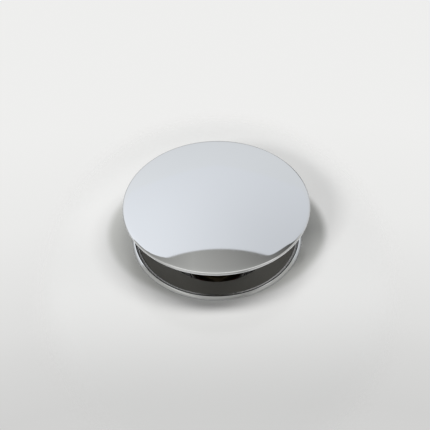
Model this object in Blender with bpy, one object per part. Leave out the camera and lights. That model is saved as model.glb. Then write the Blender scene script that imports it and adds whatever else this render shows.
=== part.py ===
# Push-type pop-up sink drain, standing open, for a 45 mm basin hole.
# Lengths are in metres. The origin is the flange's centre at the basin's surface, and +Z is up.

import math

import bmesh
import bpy

# Clearances
FIT_GAP = 0.0003
CUT_OVERRUN = 0.001

# Cap
CAP_RADIUS = 0.033
CAP_LIFT = 0.0159
CAP_RISE = 0.0038
CAP_WALL = 0.0012
CAP_EDGE_RADIUS = 0.0009
BOSS_RADIUS = 0.0065
BOSS_HOLE_DEPTH = 0.0032

# Seal under the cap
SEAL_OVERLAP = 0.00585
SEAL_WIDTH = 0.004
CARRIER_LIP_WIDTH = 0.0016
CARRIER_LIP = 0.001
CARRIER_FOOT = 0.0009
SEAL_GROOVE_HEIGHT = 0.0016
SEAL_GROOVE_DEPTH = 0.0012
SEAL_DROP = 0.0009

# Stud with its washer and nut
STUD_RADIUS = 0.003
STUD_CHAMFER = 0.0005
STUD_WASHER_RADIUS = 0.0065
STUD_WASHER_THICKNESS = 0.0008
STUD_NUT_FLATS = 0.009
STUD_NUT_HEIGHT = 0.0026
STUD_SOCKET_DEPTH = 0.006

# Plunger
PRESS_TRAVEL = 0.013
STEM_RADIUS = 0.0046
PISTON_HEIGHT = 0.009
SPIGOT_RADIUS = 0.002
SPIGOT_TAIL = 0.0014
CLIP_GROOVE_DEPTH = 0.0008

# Latch rotor, its clip and the cam ring
ROTOR_HEIGHT = 0.003
ROTOR_TEETH_WIDTH = 0.0012
ROTOR_TEETH_BACKING = 0.0006
TOOTH_HEIGHT = 0.0012
CLIP_RADIUS = 0.003
CLIP_THICKNESS = 0.0008
CLIP_OPENING = 0.0022

# Spring and its seat
SPRING_WIRE_RADIUS = 0.00035
SPRING_LENGTH = 0.0245
SEAT_THICKNESS = 0.0008

# Cartridge
HOUSING_RADIUS = 0.0071
HOUSING_BORE_RADIUS = 0.0062
HOUSING_MOUTH_RADIUS = 0.0068
HOUSING_NECK_RADIUS = 0.0084
HOUSING_NECK_HEIGHT = 0.0029
HOUSING_FLANGE_FLATS = 0.0184
HOUSING_FLANGE_HEIGHT = 0.0027
CARTRIDGE_WASHER_THICKNESS = 0.0008
COLLAR_HEIGHT = 0.0032
COLLAR_SKIRT = 0.003
GLAND_RING_RADIUS = 0.0007
PLUG_HEIGHT = 0.0022
PLUG_SKIRT = 0.0027
PLUG_HOLE_RADIUS = 0.0012

# Body
FLANGE_OVERHANG = 0.00985
RIM_HEIGHT = 0.0014
RIM_WIDTH = 0.0025
BEAD_HEIGHT = 0.0007
CREST_INSET = 0.0012
CREST_ROUND = 0.0009
SHOULDER_ROUND = 0.0004
RIM_CORNER = 0.0003
DISH_DEPTH = 0.0036
THROAT_ROUND = 0.0008
SEAT_WIDTH = 0.0024
NECK_DEPTH = 0.0046
SHANK_RADIUS = 0.02095
SHANK_WALL = 0.0018
SHANK_LENGTH = 0.058
SHANK_CHAMFER = 0.0006
THREAD_PITCH = 0.0023
THREAD_DEPTH = 0.0007
THREAD_RELIEF = 0.0014
SPIDER_DEPTH = 0.017
HUB_RADIUS = 0.0103
HUB_HEIGHT = 0.004
ARM_WIDTH = 0.003
ARM_HEIGHT = 0.0032
SLOT_TOP_DEPTH = 0.0095
SLOT_WIDTH = 0.008
SLOT_HEIGHT = 0.0125

# Gasket, washers and nut that grip the basin
GASKET_WIDTH = 0.006
GASKET_THICKNESS = 0.0015
CLAMP_DEPTH = 0.027
TAPER_HEIGHT = 0.006
TAPER_TOP_WALL = 0.0012
TAPER_BASE_WALL = 0.00725
TAPER_BASE_HEIGHT = 0.003
FRICTION_WIDTH = 0.00755
FRICTION_THICKNESS = 0.0015
NUT_WALL = 0.00475
NUT_HEIGHT = 0.0075

# Tailpiece
TAIL_RADIUS = 0.0159
TAIL_WALL = 0.0013
TAIL_THREAD_LENGTH = 0.012
TAIL_MOUTH_WALL = 0.0016
TAIL_SHOULDER_OVERHANG = 0.00065
TAIL_SHOULDER_HEIGHT = 0.0035
TAIL_TAPER_HEIGHT = 0.003
TAIL_TUBE_LENGTH = 0.052
TAIL_RING_RADIUS = 0.0007

# Counts and angles
LARGE_SEGMENTS = 72
MEDIUM_SEGMENTS = 48
SMALL_SEGMENTS = 32
FINE_SEGMENTS = 20
RING_SIDES = 8
LATCH_TEETH = 8
STEPS_PER_TOOTH = 4
DOME_STEPS = 8
EDGE_STEPS = 7
THROAT_STEPS = 3
SHOULDER_STEPS = 2
CREST_STEPS = 3
CORNER_STEPS = 3
SLOT_END_STEPS = 6
SPRING_TURNS = 8
POINTS_PER_TURN = 10
CHAMFER_ANGLE = math.radians(30)
CHAMFER_LIMIT_SHARE = 0.45
ARM_ANGLE = math.radians(45)
CREST_INSIDE = math.radians(22.5)
CREST_OUTSIDE = math.radians(30)
EDGE_ROLL = math.radians(255)
SMOOTH_ANGLE = math.radians(35)
DISH_CURVE = 1.25
MERGE_SHARE = 0.001
CAP_INSIDE_SHARES = (0, 0.35, 0.7, 1)
DISH_SHARES = (0.2, 0.4, 0.6, 0.8)

# The cap's dome is an arc that meets the rolled edge without a step
cap_edge_centre = CAP_RADIUS - CAP_EDGE_RADIUS
dome_radius = (cap_edge_centre**2 + CAP_RISE**2 - CAP_EDGE_RADIUS**2) / (2 * (CAP_RISE - CAP_EDGE_RADIUS))
dome_centre = CAP_RISE - dome_radius

# Radii that follow from a neighbour
stud_hole_radius = STUD_RADIUS + FIT_GAP
stem_bore_radius = STEM_RADIUS + FIT_GAP
piston_radius = HOUSING_BORE_RADIUS - FIT_GAP
spigot_bore_radius = SPIGOT_RADIUS + FIT_GAP
clip_groove_radius = SPIGOT_RADIUS - CLIP_GROOVE_DEPTH
rotor_teeth_inner = piston_radius - ROTOR_TEETH_WIDTH
spring_radius = rotor_teeth_inner - FIT_GAP - SPRING_WIRE_RADIUS
throat_radius = SHANK_RADIUS - SHANK_WALL
shank_fit_radius = SHANK_RADIUS + FIT_GAP
flange_radius = SHANK_RADIUS + FLANGE_OVERHANG
seal_radius = throat_radius + SEAL_OVERLAP
carrier_foot_radius = seal_radius - SEAL_WIDTH
carrier_lip_radius = carrier_foot_radius + CARRIER_LIP_WIDTH
carrier_groove_radius = carrier_foot_radius - SEAL_GROOVE_DEPTH

# Heights of the stopper, from the cap downwards
carrier_top = CAP_LIFT - CAP_EDGE_RADIUS - FIT_GAP
carrier_height = CARRIER_LIP + SEAL_GROOVE_HEIGHT + CARRIER_FOOT
stud_top = CAP_LIFT - CAP_EDGE_RADIUS + BOSS_HOLE_DEPTH - FIT_GAP
stud_washer_top = carrier_top - carrier_height - FIT_GAP
stud_nut_top = stud_washer_top - STUD_WASHER_THICKNESS - FIT_GAP
plunger_top = stud_nut_top - STUD_NUT_HEIGHT - FIT_GAP
stud_foot = plunger_top - STUD_SOCKET_DEPTH + FIT_GAP

# Heights of the cartridge, from the spider upwards
hub_top = -SPIDER_DEPTH
cartridge_washer_foot = hub_top + FIT_GAP
housing_flange_foot = cartridge_washer_foot + CARTRIDGE_WASHER_THICKNESS + FIT_GAP
housing_top = housing_flange_foot + HOUSING_FLANGE_HEIGHT + HOUSING_NECK_HEIGHT
collar_foot = housing_top + FIT_GAP
mouth_floor = collar_foot - COLLAR_SKIRT - FIT_GAP

# Heights inside the cartridge, from the collar downwards
piston_top = mouth_floor
rotor_top = piston_top - PISTON_HEIGHT - FIT_GAP
clip_top = rotor_top - ROTOR_HEIGHT - FIT_GAP
spring_top = clip_top
spring_foot = spring_top - SPRING_LENGTH
rotor_tips = rotor_top - ROTOR_HEIGHT - ROTOR_TEETH_BACKING - TOOTH_HEIGHT
cam_tips = rotor_tips - PRESS_TRAVEL - FIT_GAP
seat_top = spring_foot - FIT_GAP
plug_top = seat_top - SEAT_THICKNESS - FIT_GAP
housing_foot = plug_top - PLUG_SKIRT

# Dish, from the bead's foot down to the throat
bead_foot = RIM_HEIGHT - BEAD_HEIGHT
bead_inner_radius = flange_radius - RIM_WIDTH
throat_height = bead_foot - DISH_DEPTH
dish_inner_radius = throat_radius + THROAT_ROUND
dish_slope = DISH_DEPTH / (bead_inner_radius - dish_inner_radius)
seat_inner_radius = flange_radius - SEAT_WIDTH
under_slope = NECK_DEPTH / (seat_inner_radius - SHANK_RADIUS)

# Heights below the basin
taper_foot = -CLAMP_DEPTH - TAPER_HEIGHT - TAPER_BASE_HEIGHT
friction_foot = taper_foot - FIT_GAP - FRICTION_THICKNESS
nut_foot = friction_foot - FIT_GAP - NUT_HEIGHT
tail_ring_height = -SHANK_LENGTH - FIT_GAP - TAIL_RING_RADIUS
shoulder_top = tail_ring_height - TAIL_RING_RADIUS - FIT_GAP

# Finishes: colour, roughness and metallic value
CHROME = ("chrome", (0.83, 0.84, 0.86), 0.05, 1.0)
BRASS = ("brass", (0.75, 0.58, 0.29), 0.28, 1.0)
STEEL = ("steel", (0.62, 0.63, 0.65), 0.3, 1.0)
RUBBER = ("rubber", (0.025, 0.025, 0.026), 0.7, 0.0)
BLACK_PLASTIC = ("black_plastic", (0.035, 0.035, 0.038), 0.4, 0.0)
GREY_PLASTIC = ("grey_plastic", (0.30, 0.31, 0.33), 0.45, 0.0)
WHITE_PLASTIC = ("white_plastic", (0.82, 0.83, 0.82), 0.4, 0.0)
RED_FIBRE = ("red_fibre", (0.42, 0.11, 0.07), 0.75, 0.0)


def clear_scene():
    for obj in list(bpy.data.objects):
        bpy.data.objects.remove(obj, do_unlink=True)


def finished(name, finish):
    slot, colour, roughness, metallic = finish
    material = bpy.data.materials.new(name + "_" + slot)
    material.use_nodes = True
    shader = material.node_tree.nodes["Principled BSDF"]
    shader.inputs["Base Color"].default_value = (*colour, 1.0)
    shader.inputs["Roughness"].default_value = roughness
    shader.inputs["Metallic"].default_value = metallic
    return material


def placed(name, bm, height, finish):
    """An object from a bmesh, with its origin on the vertical axis at the given height."""
    bmesh.ops.recalc_face_normals(bm, faces=bm.faces)
    mesh = bpy.data.meshes.new(name)
    bm.to_mesh(mesh)
    bm.free()
    mesh.shade_smooth()
    mesh.set_sharp_from_angle(angle=SMOOTH_ANGLE)
    obj = bpy.data.objects.new(name, mesh)
    obj.location.z = height
    bpy.context.scene.collection.objects.link(obj)
    if finish:
        mesh.materials.append(finished(name, finish))
    return obj


def spun(outline, segments):
    """The outline turned about the vertical axis, open where it meets the axis."""
    bm = bmesh.new()
    verts = [bm.verts.new((radius, 0, height)) for radius, height in outline]
    edges = [bm.edges.new(pair) for pair in zip(verts, verts[1:])]
    if outline[0][0] > 0:
        edges.append(bm.edges.new((verts[-1], verts[0])))
    bmesh.ops.spin(
        bm,
        geom=verts + edges,
        cent=(0, 0, 0),
        axis=(0, 0, 1),
        angle=2 * math.pi,
        steps=segments,
        use_merge=True,
    )
    bmesh.ops.remove_doubles(bm, verts=bm.verts, dist=FIT_GAP * MERGE_SHARE)
    bmesh.ops.dissolve_degenerate(bm, edges=bm.edges, dist=FIT_GAP * MERGE_SHARE)
    return bm


def turned(name, outline, height, finish, segments):
    return placed(name, spun(outline, segments), height, finish)


def arc(centre, radii, start, end, steps):
    """Points on an ellipse's arc, its angle measured from straight up towards the outside."""
    points = []
    for i in range(steps + 1):
        angle = start + (end - start) * i / steps
        points.append((centre[0] + radii[0] * math.sin(angle), centre[1] + radii[1] * math.cos(angle)))
    return points


def bend(start, corner, end, steps):
    """Points on a curve that leaves its start and meets its end along the two lines through the corner."""
    points = []
    for i in range(steps + 1):
        t = i / steps
        shares = ((1 - t) ** 2, 2 * t * (1 - t), t**2)
        points.append(tuple(sum(s * v for s, v in zip(shares, values)) for values in zip(start, corner, end)))
    return points


def helper(obj):
    obj.hide_render = True
    obj.display_type = "WIRE"
    return obj


def combine(target, other, operation):
    modifier = target.modifiers.new(other.name, "BOOLEAN")
    modifier.operation = operation
    modifier.solver = "EXACT"
    modifier.object = helper(other)


def cylinder(name, radius, foot, top, segments):
    outline = [(0, 0), (radius, 0), (radius, top - foot), (0, top - foot)]
    return turned(name, outline, foot, None, segments)


def box(name, size, height, turn):
    bm = bmesh.new()
    bmesh.ops.create_cube(bm, size=1)
    bmesh.ops.scale(bm, vec=size, verts=bm.verts)
    obj = placed(name, bm, height, None)
    obj.rotation_euler.z = turn
    return obj


def hexagon(name, flats, height, foot, finish):
    """A hexagonal block with its corners chamfered above and below."""
    corner = flats / 2 / math.cos(math.pi / 6)
    bm = bmesh.new()
    bmesh.ops.create_cone(bm, cap_ends=True, segments=6, radius1=corner, radius2=corner, depth=height)
    bmesh.ops.translate(bm, vec=(0, 0, height / 2), verts=bm.verts)
    obj = placed(name, bm, foot, finish)
    reach = corner + FIT_GAP
    drop = min((reach - flats / 2) * math.tan(CHAMFER_ANGLE), height * CHAMFER_LIMIT_SHARE)
    crown = flats / 2 - CUT_OVERRUN / math.tan(CHAMFER_ANGLE)
    outline = [
        (0, -CUT_OVERRUN),
        (crown, -CUT_OVERRUN),
        (reach, drop),
        (reach, height - drop),
        (crown, height + CUT_OVERRUN),
        (0, height + CUT_OVERRUN),
    ]
    combine(obj, turned(name + "_chamfer", outline, foot, None, SMALL_SEGMENTS), "INTERSECT")
    return obj


def bored(obj, radius, foot, top, segments):
    cutter = cylinder(obj.name + "_bore", radius, foot - CUT_OVERRUN, top + CUT_OVERRUN, segments)
    combine(obj, cutter, "DIFFERENCE")


def ring(name, centre_radius, section_radius, height, finish, segments):
    """A round-section ring."""
    section = arc((centre_radius, 0), (section_radius, section_radius), 0, 2 * math.pi, RING_SIDES)
    return turned(name, section[:-1], height, finish, segments)


def flat_ring(name, inner, outer, foot, thickness, finish, segments):
    outline = [(inner, 0), (outer, 0), (outer, thickness), (inner, thickness)]
    return turned(name, outline, foot, finish, segments)


def toothed(bm, level, upwards):
    """Raises a saw-toothed crown out of the ring's face at this level."""
    for vert in bm.verts:
        if abs(vert.co.z - level) > FIT_GAP * MERGE_SHARE:
            continue
        turn = math.atan2(vert.co.y, vert.co.x) / (2 * math.pi) % 1
        step = round(turn * LATCH_TEETH * STEPS_PER_TOOTH) % STEPS_PER_TOOTH
        rise = TOOTH_HEIGHT * step / (STEPS_PER_TOOTH - 1)
        vert.co.z += rise if upwards else -rise
    return bm


def dome_height(radius, depth):
    """Height of the cap's arc over its edge's centre, at a depth below the outer face."""
    return dome_centre + math.sqrt((dome_radius - depth) ** 2 - radius**2)


def make_cap():
    edge_angle = math.asin(cap_edge_centre / (dome_radius - CAP_EDGE_RADIUS))
    outline = arc((0, dome_centre), (dome_radius, dome_radius), 0, edge_angle, DOME_STEPS)
    edge = arc((cap_edge_centre, 0), (CAP_EDGE_RADIUS, CAP_EDGE_RADIUS), edge_angle, EDGE_ROLL, EDGE_STEPS)
    outline += edge[1:]
    inner_edge = cap_edge_centre - CAP_EDGE_RADIUS - CAP_WALL / 2
    for share in CAP_INSIDE_SHARES:
        radius = inner_edge + (BOSS_RADIUS - inner_edge) * share
        outline.append((radius, dome_height(radius, CAP_WALL)))
    outline += [
        (BOSS_RADIUS, -CAP_EDGE_RADIUS),
        (stud_hole_radius, -CAP_EDGE_RADIUS),
        (stud_hole_radius, BOSS_HOLE_DEPTH - CAP_EDGE_RADIUS),
        (0, BOSS_HOLE_DEPTH - CAP_EDGE_RADIUS),
    ]
    return turned("cap", outline, CAP_LIFT, CHROME, LARGE_SEGMENTS)


def make_seal_carrier():
    groove_foot = -CARRIER_LIP - SEAL_GROOVE_HEIGHT
    outline = [
        (stud_hole_radius, 0),
        (carrier_lip_radius, 0),
        (carrier_lip_radius, -CARRIER_LIP),
        (carrier_groove_radius, -CARRIER_LIP),
        (carrier_groove_radius, groove_foot),
        (carrier_foot_radius, groove_foot),
        (carrier_foot_radius, -carrier_height),
        (stud_hole_radius, -carrier_height),
    ]
    return turned("seal_carrier", outline, carrier_top, BLACK_PLASTIC, MEDIUM_SEGMENTS)


def make_cap_seal():
    top = -CARRIER_LIP - FIT_GAP
    tongue_foot = -CARRIER_LIP - SEAL_GROOVE_HEIGHT + FIT_GAP
    lip_inner = carrier_foot_radius + FIT_GAP
    lip_foot = tongue_foot - SEAL_DROP
    lip_rise = (seal_radius - lip_inner) * dish_slope
    outline = [
        (carrier_groove_radius + FIT_GAP, top),
        (seal_radius, top),
        (seal_radius, min(lip_foot + lip_rise, top - FIT_GAP)),
        (lip_inner, lip_foot),
        (lip_inner, tongue_foot),
        (carrier_groove_radius + FIT_GAP, tongue_foot),
    ]
    return turned("cap_seal", outline, carrier_top, RUBBER, MEDIUM_SEGMENTS)


def make_cap_stud():
    length = stud_top - stud_foot
    outline = [
        (0, 0),
        (STUD_RADIUS - STUD_CHAMFER, 0),
        (STUD_RADIUS, STUD_CHAMFER),
        (STUD_RADIUS, length - STUD_CHAMFER),
        (STUD_RADIUS - STUD_CHAMFER, length),
        (0, length),
    ]
    return turned("cap_stud", outline, stud_foot, BRASS, FINE_SEGMENTS)


def make_stud_washer():
    return flat_ring(
        "stud_washer",
        stud_hole_radius,
        STUD_WASHER_RADIUS,
        stud_washer_top - STUD_WASHER_THICKNESS,
        STUD_WASHER_THICKNESS,
        STEEL,
        SMALL_SEGMENTS,
    )


def make_stud_nut():
    foot = stud_nut_top - STUD_NUT_HEIGHT
    nut = hexagon("stud_nut", STUD_NUT_FLATS, STUD_NUT_HEIGHT, foot, BRASS)
    bored(nut, stud_hole_radius, foot, stud_nut_top, FINE_SEGMENTS)
    return nut


def make_plunger():
    """Stem with the stud's socket in its top, then the guide piston and the rotor's grooved spigot."""
    piston_foot = piston_top - PISTON_HEIGHT - plunger_top
    groove_top = clip_top + FIT_GAP - plunger_top
    groove_foot = clip_top - CLIP_THICKNESS - FIT_GAP - plunger_top
    outline = [
        (0, -STUD_SOCKET_DEPTH),
        (stud_hole_radius, -STUD_SOCKET_DEPTH),
        (stud_hole_radius, 0),
        (STEM_RADIUS, 0),
        (STEM_RADIUS, piston_top - plunger_top),
        (piston_radius, piston_top - plunger_top),
        (piston_radius, piston_foot),
        (SPIGOT_RADIUS, piston_foot),
        (SPIGOT_RADIUS, groove_top),
        (clip_groove_radius, groove_top),
        (clip_groove_radius, groove_foot),
        (SPIGOT_RADIUS, groove_foot),
        (SPIGOT_RADIUS, groove_foot - SPIGOT_TAIL),
        (0, groove_foot - SPIGOT_TAIL),
    ]
    return turned("plunger", outline, plunger_top, GREY_PLASTIC, SMALL_SEGMENTS)


def make_latch_rotor():
    level = -ROTOR_HEIGHT - ROTOR_TEETH_BACKING
    outline = [
        (spigot_bore_radius, 0),
        (piston_radius, 0),
        (piston_radius, level),
        (rotor_teeth_inner, level),
        (rotor_teeth_inner, -ROTOR_HEIGHT),
        (spigot_bore_radius, -ROTOR_HEIGHT),
    ]
    bm = toothed(spun(outline, LATCH_TEETH * STEPS_PER_TOOTH), level, False)
    return placed("latch_rotor", bm, rotor_top, WHITE_PLASTIC)


def make_rotor_clip():
    foot = clip_top - CLIP_THICKNESS
    inner = clip_groove_radius + FIT_GAP
    clip = flat_ring("rotor_clip", inner, CLIP_RADIUS, foot, CLIP_THICKNESS, STEEL, FINE_SEGMENTS)
    size = (CLIP_RADIUS + CUT_OVERRUN, CLIP_OPENING, CLIP_THICKNESS + 2 * CUT_OVERRUN)
    opening = box("rotor_clip_opening", size, foot + CLIP_THICKNESS / 2, 0)
    opening.location.x = size[0] / 2
    combine(clip, opening, "DIFFERENCE")
    return clip


def make_cam_ring():
    foot = spring_foot
    level = cam_tips - TOOTH_HEIGHT - foot
    outline = [
        (rotor_teeth_inner, 0),
        (piston_radius, 0),
        (piston_radius, level),
        (rotor_teeth_inner, level),
    ]
    bm = toothed(spun(outline, LATCH_TEETH * STEPS_PER_TOOTH), level, True)
    return placed("cam_ring", bm, foot, WHITE_PLASTIC)


def least_gap(points, thickness):
    """The least gap between stretches of a coiled wire that are half a turn or more apart."""
    apart = POINTS_PER_TURN // 2
    gaps = []
    for i, here in enumerate(points):
        gaps += [math.dist(here, there) - thickness for there in points[i + apart :]]
    return min(gaps)


def make_return_spring():
    rise = SPRING_LENGTH - 2 * SPRING_WIRE_RADIUS
    count = SPRING_TURNS * POINTS_PER_TURN
    points = []
    for i in range(count + 1):
        angle = 2 * math.pi * i / POINTS_PER_TURN
        height = SPRING_WIRE_RADIUS + rise * i / count
        points.append((spring_radius * math.cos(angle), spring_radius * math.sin(angle), height))
    print("return_spring: least gap between turns", round(least_gap(points, 2 * SPRING_WIRE_RADIUS), 5), "m")
    curve = bpy.data.curves.new("return_spring", "CURVE")
    curve.dimensions = "3D"
    curve.bevel_depth = SPRING_WIRE_RADIUS
    curve.bevel_resolution = 1
    curve.use_fill_caps = True
    spline = curve.splines.new("POLY")
    spline.points.add(count)
    for point, place in zip(spline.points, points):
        point.co = (*place, 1)
    curve.materials.append(finished("return_spring", STEEL))
    obj = bpy.data.objects.new("return_spring", curve)
    obj.location.z = spring_foot
    bpy.context.scene.collection.objects.link(obj)
    return obj


def make_spring_seat():
    foot = seat_top - SEAT_THICKNESS
    return flat_ring("spring_seat", SPIGOT_RADIUS, piston_radius, foot, SEAT_THICKNESS, STEEL, SMALL_SEGMENTS)


def make_cartridge_housing():
    flange_top = housing_flange_foot + HOUSING_FLANGE_HEIGHT
    neck_foot = housing_flange_foot + HOUSING_FLANGE_HEIGHT / 2 - housing_foot
    outline = [
        (HOUSING_BORE_RADIUS, 0),
        (HOUSING_RADIUS, 0),
        (HOUSING_RADIUS, neck_foot),
        (HOUSING_NECK_RADIUS, neck_foot),
        (HOUSING_NECK_RADIUS, housing_top - housing_foot),
        (HOUSING_MOUTH_RADIUS, housing_top - housing_foot),
        (HOUSING_MOUTH_RADIUS, mouth_floor - housing_foot),
        (HOUSING_BORE_RADIUS, mouth_floor - housing_foot),
    ]
    housing = turned("cartridge_housing", outline, housing_foot, BRASS, SMALL_SEGMENTS)
    grip = hexagon("housing_grip", HOUSING_FLANGE_FLATS, HOUSING_FLANGE_HEIGHT, housing_flange_foot, None)
    middle = (HOUSING_BORE_RADIUS + HOUSING_RADIUS) / 2
    bored(grip, middle, housing_flange_foot, flange_top, SMALL_SEGMENTS)
    combine(housing, grip, "UNION")
    return housing


def make_cartridge_washer():
    return flat_ring(
        "cartridge_washer",
        HOUSING_RADIUS + FIT_GAP,
        HOUSING_FLANGE_FLATS / 2,
        cartridge_washer_foot,
        CARTRIDGE_WASHER_THICKNESS,
        RED_FIBRE,
        SMALL_SEGMENTS,
    )


def make_cartridge_collar():
    """Screwed gland with a groove for its ring, and a skirt that stops the piston."""
    groove_half = GLAND_RING_RADIUS + FIT_GAP
    groove_radius = stem_bore_radius + 2 * GLAND_RING_RADIUS + FIT_GAP
    middle = COLLAR_HEIGHT / 2
    outline = [
        (stem_bore_radius, -COLLAR_SKIRT),
        (HOUSING_MOUTH_RADIUS - FIT_GAP, -COLLAR_SKIRT),
        (HOUSING_MOUTH_RADIUS - FIT_GAP, 0),
        (HOUSING_NECK_RADIUS, 0),
        (HOUSING_NECK_RADIUS, COLLAR_HEIGHT),
        (stem_bore_radius, COLLAR_HEIGHT),
        (stem_bore_radius, middle + groove_half),
        (groove_radius, middle + groove_half),
        (groove_radius, middle - groove_half),
        (stem_bore_radius, middle - groove_half),
    ]
    return turned("cartridge_collar", outline, collar_foot, BRASS, SMALL_SEGMENTS)


def make_gland_o_ring():
    centre = stem_bore_radius + GLAND_RING_RADIUS
    height = collar_foot + COLLAR_HEIGHT / 2
    return ring("gland_o_ring", centre, GLAND_RING_RADIUS, height, RUBBER, SMALL_SEGMENTS)


def make_end_plug():
    outline = [
        (PLUG_HOLE_RADIUS, 0),
        (HOUSING_RADIUS, 0),
        (HOUSING_RADIUS, PLUG_HEIGHT),
        (piston_radius, PLUG_HEIGHT),
        (piston_radius, PLUG_HEIGHT + FIT_GAP + PLUG_SKIRT),
        (PLUG_HOLE_RADIUS, PLUG_HEIGHT + FIT_GAP + PLUG_SKIRT),
    ]
    foot = plug_top - PLUG_SKIRT - FIT_GAP - PLUG_HEIGHT
    return turned("end_plug", outline, foot, BRASS, SMALL_SEGMENTS)


def rim_bead():
    """The raised bead round the rim, from the dish's edge over its crest to the flange's edge."""
    centre = (flange_radius - CREST_INSET, RIM_HEIGHT - CREST_ROUND)
    crest = arc(centre, (CREST_ROUND, CREST_ROUND), -CREST_INSIDE, CREST_OUTSIDE, CREST_STEPS)
    inner = bead_inner_radius + SHOULDER_ROUND
    top = (inner, crest[0][1] - (crest[0][0] - inner) * math.tan(CREST_INSIDE))
    corner = (bead_inner_radius, top[1] - SHOULDER_ROUND * math.tan(CREST_INSIDE))
    start = (bead_inner_radius, corner[1] - SHOULDER_ROUND / 2)
    outline = [(bead_inner_radius, bead_foot)] + bend(start, corner, top, SHOULDER_STEPS) + crest
    fall = (flange_radius - crest[-1][0]) * math.tan(CREST_OUTSIDE)
    corner = (flange_radius, crest[-1][1] - fall)
    return outline + bend(crest[-1], corner, (flange_radius, RIM_CORNER), CORNER_STEPS)[1:]


def make_drain_body():
    """Flange and threaded shank in one, with the spider joined in and the overflow slots cut out."""
    outline = [(throat_radius, -SHANK_LENGTH)]
    throat_centre = (dish_inner_radius, throat_height - THROAT_ROUND)
    outline += arc(throat_centre, (THROAT_ROUND, THROAT_ROUND), -math.pi / 2, 0, THROAT_STEPS)
    for share in DISH_SHARES:
        radius = dish_inner_radius + (bead_inner_radius - dish_inner_radius) * share
        outline.append((radius, throat_height + DISH_DEPTH * share**DISH_CURVE))
    outline += rim_bead()
    outline += [
        (flange_radius, 0),
        (seat_inner_radius, 0),
        (SHANK_RADIUS, -NECK_DEPTH),
        (SHANK_RADIUS, -SHANK_LENGTH + SHANK_CHAMFER),
        (SHANK_RADIUS - SHANK_CHAMFER, -SHANK_LENGTH),
    ]
    bm = spun(outline, LARGE_SEGMENTS)
    cut_thread(bm, -NECK_DEPTH, -SHANK_LENGTH + SHANK_CHAMFER)
    body = placed("drain_body", bm, 0, CHROME)
    arm_length = 2 * throat_radius + SHANK_WALL
    for side in (1, -1):
        name = "spider_arm_" + ("a" if side > 0 else "b")
        arm = box(name, (arm_length, ARM_WIDTH, ARM_HEIGHT), hub_top - HUB_HEIGHT / 2, side * ARM_ANGLE)
        combine(body, arm, "UNION")
    hub = cylinder("spider_hub", HUB_RADIUS, hub_top - HUB_HEIGHT, hub_top, SMALL_SEGMENTS)
    combine(body, hub, "UNION")
    bored(body, HOUSING_RADIUS + FIT_GAP, hub_top - HUB_HEIGHT, hub_top, SMALL_SEGMENTS)
    for side in (1, -1):
        combine(body, overflow_cutter(side), "DIFFERENCE")
    return body


def shank_ring(bm, height):
    """The shank's vertices at this height, in order clockwise from +X."""
    near = FIT_GAP * MERGE_SHARE
    verts = [v for v in bm.verts if abs(v.co.z - height) < near and abs(v.co.xy.length - SHANK_RADIUS) < near]
    turn = len(verts) / (2 * math.pi)
    return sorted(verts, key=lambda v: round(-math.atan2(v.co.y, v.co.x) * turn) % len(verts))


def thread_row(bm, radius, start, steps, count):
    """Vertices along the thread, clockwise from +X and down by one pitch in a turn."""
    row = []
    for step in range(steps):
        angle = -2 * math.pi * step / count
        point = (radius * math.cos(angle), radius * math.sin(angle), start - THREAD_PITCH * step / count)
        row.append(bm.verts.new(point))
    return row


def cut_thread(bm, top, foot):
    """A right-handed thread in place of the plain cylinder between two rings of the shank.

    Even rows are crests and odd rows are roots. Each row ends where the row two below it begins.
    """
    upper = shank_ring(bm, top)
    lower = shank_ring(bm, foot)
    ends = set(upper + lower)
    plain = [face for face in bm.faces if ends.issuperset(face.verts)]
    bmesh.ops.delete(bm, geom=plain, context="FACES")
    turns = int((top - foot - 2 * THREAD_RELIEF) / THREAD_PITCH)
    start = (top + foot + turns * THREAD_PITCH) / 2
    last = 2 * turns - 2
    rows = []
    for index in range(last + 3):
        radius = SHANK_RADIUS - THREAD_DEPTH * (index % 2)
        steps = len(upper) if index <= last else 1
        rows.append(thread_row(bm, radius, start - THREAD_PITCH * index / 2, steps, len(upper)))
    faces = []
    for index in range(last):
        ahead = rows[index][1:] + rows[index + 2][:1]
        ahead_below = rows[index + 1][1:] + rows[index + 3][:1]
        faces += zip(rows[index], ahead, ahead_below, rows[index + 1])
    first, root, second = rows[:3]
    faces += zip(upper, upper[1:], first[1:], first)
    faces += [(upper[-1], upper[0], first[0], second[0], first[-1]), (first[0], root[0], second[0])]
    final, root_end, crest_end = rows[last:]
    faces += zip(final[1:], final[2:], lower[2:], lower[1:])
    faces += [
        (final[0], final[1], lower[1], lower[0], crest_end[0]),
        (final[-1], crest_end[0], lower[0], lower[-1]),
        (final[0], crest_end[0], root_end[0]),
    ]
    for verts in faces:
        bm.faces.new(verts)


def overflow_cutter(side):
    """A round-ended block through one side of the shank."""
    half = SLOT_WIDTH / 2
    straight = SLOT_HEIGHT / 2 - half
    ends = [(straight, -math.pi / 2), (-straight, math.pi / 2)]
    bm = bmesh.new()
    verts = []
    for height, start in ends:
        for across, up in arc((0, height), (half, half), start, start + math.pi, SLOT_END_STEPS):
            verts.append(bm.verts.new((0, across, up)))
    face = bm.faces.new(verts)
    depth = SHANK_WALL + 2 * CUT_OVERRUN
    grown = bmesh.ops.extrude_face_region(bm, geom=[face])["geom"]
    moved = [item for item in grown if isinstance(item, bmesh.types.BMVert)]
    bmesh.ops.translate(bm, vec=(depth, 0, 0), verts=moved)
    cutter = placed("overflow_cut_" + ("a" if side > 0 else "b"), bm, -SLOT_TOP_DEPTH - SLOT_HEIGHT / 2, None)
    cutter.location.x = side * (throat_radius - CUT_OVERRUN)
    cutter.rotation_euler.z = 0 if side > 0 else math.pi
    return cutter


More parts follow.
